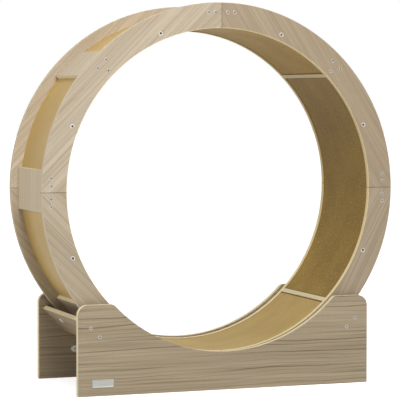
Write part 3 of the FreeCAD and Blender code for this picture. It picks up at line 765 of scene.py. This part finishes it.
def select_facing(piece, way):
    """Go into edit mode with only the faces selected that look one way."""
    select_only(piece)
    bpy.ops.object.mode_set(mode="EDIT")
    bpy.ops.mesh.select_mode(type="FACE")
    bpy.ops.mesh.select_all(action="DESELECT")
    bpy.ops.object.mode_set(mode="OBJECT")
    for face in piece.data.polygons:
        face.select = face.normal.dot(way) > LOOKING
    bpy.ops.object.mode_set(mode="EDIT")


def extrude(rise, grow=1.0):
    """Draw the selected faces out along Z, and make them wider or narrower."""
    bpy.ops.mesh.extrude_region_move(TRANSFORM_OT_translate={"value": (0, 0, rise)})
    bpy.ops.transform.resize(value=(grow, grow, 1))


def bar(name, sides, radius, height, middle):
    """An upright round or many-sided bar, with its middle at a height."""
    bpy.ops.mesh.primitive_cylinder_add(
        vertices=sides, radius=radius, depth=height, location=(0, 0, middle)
    )
    piece = bpy.context.object
    piece.name = name
    bpy.ops.object.transform_apply()
    return piece


def cut_with(piece, cutter):
    """Take one solid out of another and throw the cutter away."""
    apply_modifier(piece, "BOOLEAN", operation="DIFFERENCE", object=cutter, solver="EXACT")
    bpy.data.objects.remove(cutter)


def cut_cross(screw, length, width, floor, top, taper):
    """Cut a cross recess between two levels, narrower at its floor by a share."""
    for turn in (0, 90):
        bpy.ops.mesh.primitive_cube_add(size=1, location=(0, 0, (floor + top) / 2))
        slot = bpy.context.object
        slot.scale = (length, width, top - floor)
        slot.rotation_euler = (0, 0, math.radians(turn))
        bpy.ops.object.transform_apply()
        select_facing(slot, DOWN)
        bpy.ops.transform.resize(value=(taper, taper, 1))
        bpy.ops.object.mode_set(mode="OBJECT")
        cut_with(screw, slot)


def wood_screw_pattern():
    """A countersunk screw pointing down, with the middle of its head at the origin."""
    screw = bar("wood_screw", 28, SCREW_HEAD_RADIUS, SCREW_LAND, -SCREW_LAND / 2)
    select_facing(screw, DOWN)
    extrude(SCREW_LAND - SCREW_HEAD_HEIGHT, SCREW_SHANK_RADIUS / SCREW_HEAD_RADIUS)
    extrude(SCREW_HEAD_HEIGHT - SCREW_LENGTH, TIP_SHARE)
    bpy.ops.object.mode_set(mode="OBJECT")
    select_facing(screw, UP)
    bpy.ops.mesh.inset(thickness=HEAD_RIM, depth=HEAD_RISE)
    bpy.ops.object.mode_set(mode="OBJECT")
    cut_cross(screw, **SCREW_RECESS)
    return screw


def give_metals(pattern, bright, dark, reach, lowest, highest):
    """The plated metal, and a darker one on the faces of the recess in the head, as painted shade."""
    pattern.data.materials.clear()
    pattern.data.materials.append(bright)
    pattern.data.materials.append(dark)
    for face in pattern.data.polygons:
        inside = math.hypot(face.center.x, face.center.y) < reach and lowest < face.center.z < highest
        face.material_index = 1 if inside else 0


def driven(pattern, name, places, body, slot, *nodes):
    """Copies of a fastener, joined as one piece: each place is a point and the way that it faces."""
    chance = random.Random(name)
    copies = []
    for point, facing in places:
        copy = pattern.copy()
        copy.data = pattern.data.copy()
        bpy.context.scene.collection.objects.link(copy)
        spin = Matrix.Rotation(chance.uniform(0, math.pi), 4, "Z")
        aim = facing.to_track_quat("Z", "Y").to_matrix().to_4x4()
        copy.data.transform(Matrix.Translation(point) @ aim @ spin)
        copies.append(copy)
    bpy.ops.object.select_all(action="DESELECT")
    for copy in copies:
        copy.select_set(True)
    bpy.context.view_layer.objects.active = copies[0]
    bpy.ops.object.join()
    piece = bpy.context.object
    piece.name = name
    select_only(piece)
    bpy.ops.object.shade_smooth_by_angle(angle=FASTENER_SMOOTH)
    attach(piece, body)
    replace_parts(piece, *nodes)
    return piece


screw_steel = metal("zinc-plated screw", SCREW_TONES, SCREW_METAL)
recess_shade_steel = metal("painted shade in a head recess", RECESS_SHADE_TONES, RECESS_SHADE_METAL)
wood_screw = wood_screw_pattern()
give_metals(wood_screw, screw_steel, recess_shade_steel, **SCREW_HOLLOW)
driven(
    wood_screw, "ring_wood_screws", head_places("ring_screws", SCREW_SINK),
    "wheel", "screw_steel", "ring_screws",
)
driven(
    wood_screw, "base_wood_screws", head_places("cross_board_screws", SCREW_SINK),
    "base", "screw_steel", "cross_board_screws",
)
bpy.data.objects.remove(wood_screw)


# --- Ring bolts ------------------------------------------------------------------------------
# Nickel-plated furniture bolts through the rings into the ends of the ribs. The head is a round
# cap with an eased edge and a hexagon socket.

BOLT_TONES = ((216, 212, 200), (168, 164, 154))
BOLT_METAL = 0.6
BOLT_HEAD_RADIUS = 6 * MM
BOLT_HEAD_HEIGHT = 5 * MM
BOLT_SHANK_RADIUS = 3.5 * MM
BOLT_LENGTH = 45 * MM
BOLT_EASE = 0.6 * MM
BOLT_SINK = 0.3 * MM
SOCKET_RADIUS = 3.1 * MM
SOCKET_DEPTH = 4 * MM
BOLT_HOLLOW = {"reach": SOCKET_RADIUS, "lowest": -4.3 * MM, "highest": -0.3 * MM}


def bolt_pattern():
    """A socket bolt pointing down, with the middle of its head at the origin."""
    bolt = bar("bolt", 36, BOLT_HEAD_RADIUS, BOLT_HEAD_HEIGHT, -BOLT_HEAD_HEIGHT / 2)
    select_facing(bolt, DOWN)
    bpy.ops.mesh.inset(thickness=BOLT_HEAD_RADIUS - BOLT_SHANK_RADIUS)
    extrude(-BOLT_LENGTH)
    bpy.ops.object.mode_set(mode="OBJECT")
    cut_with(bolt, bar("socket", 6, SOCKET_RADIUS, 2 * SOCKET_DEPTH, 0))
    ease_edges(bolt, BOLT_EASE, EASE_ANGLE)
    return bolt


bolt_steel = metal("nickel-plated bolt", BOLT_TONES, BOLT_METAL)
ring_bolt = bolt_pattern()
give_metals(ring_bolt, bolt_steel, recess_shade_steel, **BOLT_HOLLOW)
driven(
    ring_bolt, "ring_socket_bolts", head_places("ring_bolts", BOLT_SINK),
    "wheel", "bolt_steel", "ring_bolts",
)
bpy.data.objects.remove(ring_bolt)


# --- Side panels -----------------------------------------------------------------------------
# The two sides of the base, sawn from 15 mm plywood with greyed oak veneer. The grain runs from
# side to side, the top corners are rounded, and a round hollow in the top follows the wheel.

PANEL_EASE = 1.6 * MM
PANEL_LIGHT = (184, 168, 142)
PANEL_DARK = (118, 100, 76)
PANEL_LINES = (10 * MM, 5, 0.85)
PANEL_START = 2.0

panel_low, panel_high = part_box("rear_side_panel")
panel_middle = (panel_low.y + panel_high.y) / 2
panel_half = (panel_high.y - panel_low.y) / 2
panel_veneer = veneered_board(
    "panel veneer", 0, "XYZ", panel_middle, panel_half, PANEL_LIGHT, PANEL_DARK,
    PANEL_LINES, PANEL_START,
)
for side in ("front", "rear"):
    eased(
        f"{side}_side_panel", f"{side}_side_panel_board", PANEL_EASE, panel_veneer,
        "base",
    )


# --- Cross boards ----------------------------------------------------------------------------
# Two veneered boards from side panel to side panel, square to the wheel's radius, which keep the
# base square and take the screws through the panels.

BOARD_ANGLES = {"left": 225, "right": 315}
BOARD_EASE = 0.8 * MM
BOARD_THICK = 12 * MM
BOARD_RADIUS = 469.5 * MM
BOARD_LIGHT = (162, 144, 116)
BOARD_DARK = (100, 82, 58)
BOARD_LINES = (12 * MM, 3, 0.6)
BOARD_SHEET = 30

for word, angle in BOARD_ANGLES.items():
    board_veneer = veneered_board(
        f"cross board veneer {word}", angle, "YXZ", BOARD_RADIUS + BOARD_THICK / 2, BOARD_THICK / 2,
        BOARD_LIGHT, BOARD_DARK, BOARD_LINES, angle / BOARD_SHEET,
    )
    eased(
        f"{word}_cross_board", f"{word}_cross_board_plank", BOARD_EASE, board_veneer,
        "base",
    )


# --- Cross board bolts -----------------------------------------------------------------------
# One low domed bolt of zinc-plated steel through each cross board, pushed in from outside and
# held by a hexagon nut on the inner side.

# Zinc plating made near-white and nearly matt: partly the plating's own pale colour, partly painted light for
# fittings that sit in the base's shade.
ZINC_TONES_PAINTED_LIGHT = ((246, 246, 238), (222, 221, 210))
ZINC_METAL = 0.1
DOME_HEAD_RADIUS = 7 * MM
DOME_LAND = 1.0 * MM
DOME_STEPS = ((0.9, 0.45 * MM), (0.75, 0.3 * MM), (0.5, 0.2 * MM))
DOME_SHANK_RADIUS = 3 * MM
DOME_TAIL = 5 * MM
NUT_RADIUS = 5.4 * MM
NUT_HEIGHT = 4 * MM
NUT_EASE = 0.4 * MM
NUT_ANGLE = math.radians(30)
DOME_SMOOTH = math.radians(30)

board_zinc_painted_light = metal("zinc-plated fitting with painted light", ZINC_TONES_PAINTED_LIGHT, ZINC_METAL)


def raise_dome(head, steps):
    """Round the top of a head in steps that each narrow it and rise a little."""
    select_facing(head, UP)
    for grow, rise in steps:
        extrude(rise, grow)
    bpy.ops.object.mode_set(mode="OBJECT")


def board_bolt(word, angle):
    """The bolt and nut of one cross board, at its CAD place."""
    outward = Vector((math.cos(math.radians(angle)), 0, math.sin(math.radians(angle))))
    corners = [box for box in solid_boxes("cross_board_bolts") if (box[0].x < 0) == (word == "left")]
    middles = [(low + high) / 2 for low, high in corners]
    middle = sum(middles, Vector()) / len(middles)
    foot = middle - outward * (middle - HUB).dot(outward)
    bolt = bar(f"{word}_board_bolt", 32, DOME_HEAD_RADIUS, DOME_LAND, 0)
    raise_dome(bolt, DOME_STEPS)
    select_facing(bolt, DOWN)
    bpy.ops.mesh.inset(thickness=DOME_HEAD_RADIUS - DOME_SHANK_RADIUS)
    extrude(-BOARD_THICK - DOME_TAIL)
    bpy.ops.object.mode_set(mode="OBJECT")
    nut = bar("nut", 6, NUT_RADIUS, NUT_HEIGHT, -DOME_LAND / 2 - BOARD_THICK - NUT_HEIGHT / 2)
    ease_edges(nut, NUT_EASE, NUT_ANGLE, 2)
    bolt.select_set(True)
    bpy.context.view_layer.objects.active = bolt
    bpy.ops.object.join()
    aim = outward.to_track_quat("Z", "Y").to_matrix().to_4x4()
    seat = foot + outward * (BOARD_RADIUS + BOARD_THICK + DOME_LAND / 2)
    bolt.data.transform(Matrix.Translation(seat) @ aim)
    bpy.ops.object.shade_smooth_by_angle(angle=DOME_SMOOTH)
    dress(bolt, board_zinc_painted_light, "base")
    return bolt


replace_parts(board_bolt("left", BOARD_ANGLES["left"]), "cross_board_bolts")
board_bolt("right", BOARD_ANGLES["right"])


# --- Rollers ---------------------------------------------------------------------------------
# Four grooved rollers turned from white nylon. A ring's edge runs in each groove. A ball bearing
# is pressed into the roller from the inner side.

CORNERS = ("front_left", "front_right", "rear_left", "rear_right")
ROLLER_EASE = 0.6 * MM
NYLON_LIGHT = (232, 230, 222)
NYLON_DARK = (206, 203, 190)
NYLON_MOTTLE = (90, 90, 90)
NYLON_MARKS = (60, 2600, 60)
NYLON_RELIEF = 0.03 * MM
NYLON_ROUGH = 0.42
NYLON_SOFT = 0.08
NYLON_DEEP = (4 * MM, 4 * MM, 3 * MM)


def make_nylon():
    """White nylon, faintly mottled, with fine turning marks."""
    material, tree, shader = start_material("white nylon")
    mottle = noise(tree, here(tree), NYLON_MOTTLE, 3)
    marks = noise(tree, here(tree), NYLON_MARKS, 2)
    color = mix_colors(tree, mottle, paint(NYLON_LIGHT), paint(NYLON_DARK))
    finish_surface(tree, shader, color, marks, NYLON_RELIEF, NYLON_ROUGH)
    shader.inputs["Subsurface Weight"].default_value = NYLON_SOFT
    shader.inputs["Subsurface Radius"].default_value = NYLON_DEEP
    return material


nylon = make_nylon()
for corner in CORNERS:
    eased(
        f"{corner}_roller", f"{corner}_roller_wheel", ROLLER_EASE, nylon,
        f"{corner}_roller",
    )


# --- Roller bearings -------------------------------------------------------------------------
# Small shielded ball bearings: ground steel races with a pressed shield set back between them.
# The outer race is pressed into the roller, and the inner one sits on the axle.

BEARING_EASE = 0.2 * MM
BEARING_TONES = ((205, 206, 210), (160, 160, 164))
BEARING_METAL = 1.0

bearing_steel = metal("ground bearing steel", BEARING_TONES, BEARING_METAL)
for corner in CORNERS:
    eased(
        f"{corner}_roller_bearing", f"{corner}_roller_bearing_race", BEARING_EASE, bearing_steel,
        f"{corner}_roller",
    )


# --- Roller axles and brackets ---------------------------------------------------------------
# Stepped steel axles, seated in the side panels through round-ended zinc-plated straps, with a
# clip on each tip and two pan-head screws through each strap.

AXLE_EASE = 0.25 * MM
STRAP_EASE = 0.5 * MM
CLIP_EASE = 0.15 * MM
# Pan heads near-white and matt: the zinc's pale colour raised further as painted light, as they sit in the
# base's shade.
PAN_TONES_PAINTED_LIGHT = ((252, 252, 248), (234, 234, 228))
PAN_METAL = 0.0
PAN_HEAD_RADIUS = 4.5 * MM
PAN_LAND = 1.2 * MM
PAN_STEPS = ((0.93, 0.6 * MM), (0.84, 0.4 * MM), (0.7, 0.3 * MM))
PAN_HEAD_HEIGHT = PAN_LAND + sum(rise for grow, rise in PAN_STEPS)
PAN_SHANK_RADIUS = 2 * MM
PAN_LENGTH = 12 * MM
PAN_RECESS = {"length": 4.4 * MM, "width": 1.2 * MM, "floor": 0.6 * MM, "top": 3.2 * MM, "taper": 1.0}
PAN_HOLLOW = {"reach": 2.3 * MM, "lowest": 0.3 * MM, "highest": 2.4 * MM}

for corner in CORNERS:
    eased(
        f"{corner}_roller_axle", f"{corner}_roller_axle_pin", AXLE_EASE, board_zinc_painted_light,
        "base",
    )
    eased(
        f"{corner}_roller_bracket", f"{corner}_roller_strap", STRAP_EASE, board_zinc_painted_light,
        "base",
    )
eased("axle_clips", "axle_clip_rings", CLIP_EASE, board_zinc_painted_light, "base")


def pan_screw_pattern():
    """A pan-head screw pointing down, with its head's seat at the origin and a cross recess."""
    screw = bar("pan_screw", 28, PAN_HEAD_RADIUS, PAN_LAND, PAN_LAND / 2)
    raise_dome(screw, PAN_STEPS)
    select_facing(screw, DOWN)
    bpy.ops.mesh.inset(thickness=PAN_HEAD_RADIUS - PAN_SHANK_RADIUS)
    extrude(-PAN_LENGTH, TIP_SHARE)
    bpy.ops.object.mode_set(mode="OBJECT")
    cut_cross(screw, **PAN_RECESS)
    return screw


pan_screw = pan_screw_pattern()
pan_zinc_painted_light = metal("zinc pan head with painted light", PAN_TONES_PAINTED_LIGHT, PAN_METAL)
give_metals(pan_screw, pan_zinc_painted_light, recess_shade_steel, **PAN_HOLLOW)
driven(
    pan_screw, "strap_pan_screws", head_places("bracket_screws", PAN_HEAD_HEIGHT, -1),
    "base", "zinc_steel", "bracket_screws",
)
bpy.data.objects.remove(pan_screw)


# --- Name plate ------------------------------------------------------------------------------
# A blank stamped aluminium plate with a raised bevelled frame round a brushed field, fixed low
# on the front panel.

BADGE_FRAME = 1.3 * MM
BADGE_SLOPE = 1.6 * MM
BADGE_FIELD = 1.15 * MM
BADGE_EASE = 0.25 * MM
BADGE_ANGLE = math.radians(30)
BADGE_LIGHT = (200, 202, 196)
BADGE_DARK = (166, 168, 161)
BADGE_BRUSHED = (60, 60, 4200)
BADGE_CLOUD = (45, 45, 60)
BRUSHED_SHARE = 0.4
BADGE_SHARE = 0.5
BADGE_RELIEF = 0.02 * MM
BADGE_ROUGH = 0.34
BADGE_METAL = 0.25


def make_badge():
    """A plate with a raised bevelled frame, filling the CAD plate's space."""
    low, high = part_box("badge_plate")
    bpy.ops.mesh.primitive_cube_add(size=1, location=(low + high) / 2)
    badge = bpy.context.object
    badge.name = "blank_name_plate"
    badge.scale = high - low
    bpy.ops.object.transform_apply()
    select_facing(badge, FRONT)
    bpy.ops.mesh.inset(thickness=BADGE_FRAME)
    bpy.ops.mesh.inset(thickness=BADGE_SLOPE, depth=-BADGE_FIELD)
    bpy.ops.object.mode_set(mode="OBJECT")
    ease_edges(badge, BADGE_EASE, BADGE_ANGLE)
    bpy.ops.object.shade_smooth_by_angle(angle=BADGE_ANGLE)
    return badge


def make_badge_metal():
    """Aluminium brushed from side to side."""
    material, tree, shader = start_material("brushed aluminium")
    brushed = noise(tree, here(tree), BADGE_BRUSHED, 2)
    cloud = noise(tree, here(tree), BADGE_CLOUD, 2)
    tone = math_node(tree, "MULTIPLY", cloud, BADGE_SHARE)
    tone = math_node(tree, "MULTIPLY_ADD", brushed, BRUSHED_SHARE, tone)
    color = mix_colors(tree, tone, paint(BADGE_LIGHT), paint(BADGE_DARK))
    finish_surface(tree, shader, color, brushed, BADGE_RELIEF, BADGE_ROUGH)
    shader.inputs["Metallic"].default_value = BADGE_METAL
    return material


name_plate = make_badge()
dress(name_plate, make_badge_metal(), "base")
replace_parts(name_plate, "badge_plate")


# --- Floor, light and camera -----------------------------------------------------------------
# A plain studio floor that shows pale round the wheel and white further off, three soft lamps,
# a faint even light from all round, and the photograph's long lens.

FLOOR_SIZE = 60
FLOOR_COLOR = (0.66, 0.65, 0.63, 1)
FLOOR_ROUGH = 0.9
PALE_TO = 0.9
WHITE_FROM = 2.6
PALE_LEVEL = 0.74
WHITE = (1, 1, 1, 1)
WORLD_LIGHT = 0.22

# Each lamp's place, the point that it is aimed at, its size in metres and its power in watts.
LAMPS = {
    "front overhead": ((-0.5, -2.3, 2.7), (0, 0, 0.5), 1.4, 83),
    "left side": ((-2.6, 0, 1.2), (0, 0, 0.5), 0.7, 16),
    "overhead": ((0.2, 0.3, 3.0), (0, 0, 0.2), 1.4, 13),
}
LENS = 182.807
SENSOR = 36
CAMERA_PLACE = (-1.790, -4.8107, 0.7242)
CAMERA_YAW = 20.381
CAMERA_PITCH = -2.969


def shown_rays(tree):
    """Full for the rays that show the background: the camera's, and those off metal and through glass."""
    rays = add(tree, "LightPath").outputs
    shown = math_node(tree, "MAXIMUM", rays["Is Camera Ray"], rays["Is Glossy Ray"])
    return math_node(tree, "MAXIMUM", shown, rays["Is Transmission Ray"])


def make_floor_paint():
    """Pale grey, which glows white away from the wheel to the rays that show the background."""
    material, tree, shader = start_material("studio floor")
    shader.inputs["Base Color"].default_value = FLOOR_COLOR
    shader.inputs["Roughness"].default_value = FLOOR_ROUGH
    reach = add(tree, "VectorMath", {0: here(tree)}, operation="LENGTH").outputs["Value"]
    level = rescale(tree, reach, PALE_TO, WHITE_FROM, PALE_LEVEL, 1.0)
    level = math_node(tree, "MULTIPLY", level, shown_rays(tree))
    glow = add(tree, "Emission", {"Color": WHITE, "Strength": level})
    both = add(tree, "AddShader", {0: shader.outputs[0], 1: glow.outputs[0]})
    tree.links.new(both.outputs[0], tree.nodes["Material Output"].inputs["Surface"])
    return material


def light_world():
    """A faint even light, with a white background."""
    world = bpy.data.worlds.new("studio")
    bpy.context.scene.world = world
    world.use_nodes = True
    tree = world.node_tree
    soft = tree.nodes["Background"]
    soft.inputs["Color"].default_value = WHITE
    soft.inputs["Strength"].default_value = WORLD_LIGHT
    white = add(tree, "Background", {"Color": WHITE, "Strength": 1.0})
    mixed = add(tree, "MixShader", {0: shown_rays(tree), 1: soft.outputs[0], 2: white.outputs[0]})
    tree.links.new(mixed.outputs[0], tree.nodes["World Output"].inputs["Surface"])


def hang_lamp(name, place, aim, size, power):
    """A square soft lamp aimed at a point."""
    light = bpy.data.lights.new(name, "AREA")
    light.size = size
    light.energy = power
    item = bpy.data.objects.new(name, light)
    item.location = place
    item.rotation_euler = (Vector(aim) - Vector(place)).to_track_quat("-Z", "Y").to_euler()
    bpy.context.scene.collection.objects.link(item)


bpy.ops.mesh.primitive_plane_add(size=FLOOR_SIZE)
floor = bpy.context.object
floor.name = "floor"
floor.data.materials.append(make_floor_paint())

light_world()
for name, settings in LAMPS.items():
    hang_lamp(name, *settings)

camera = bpy.data.objects.new("camera", bpy.data.cameras.new("camera"))
camera.data.lens = LENS
camera.data.sensor_width = SENSOR
camera.location = CAMERA_PLACE
camera.rotation_euler = (math.radians(90 + CAMERA_PITCH), 0, math.radians(-CAMERA_YAW))
bpy.context.scene.collection.objects.link(camera)
bpy.context.scene.camera = camera
bpy.context.scene.view_settings.view_transform = "Standard"
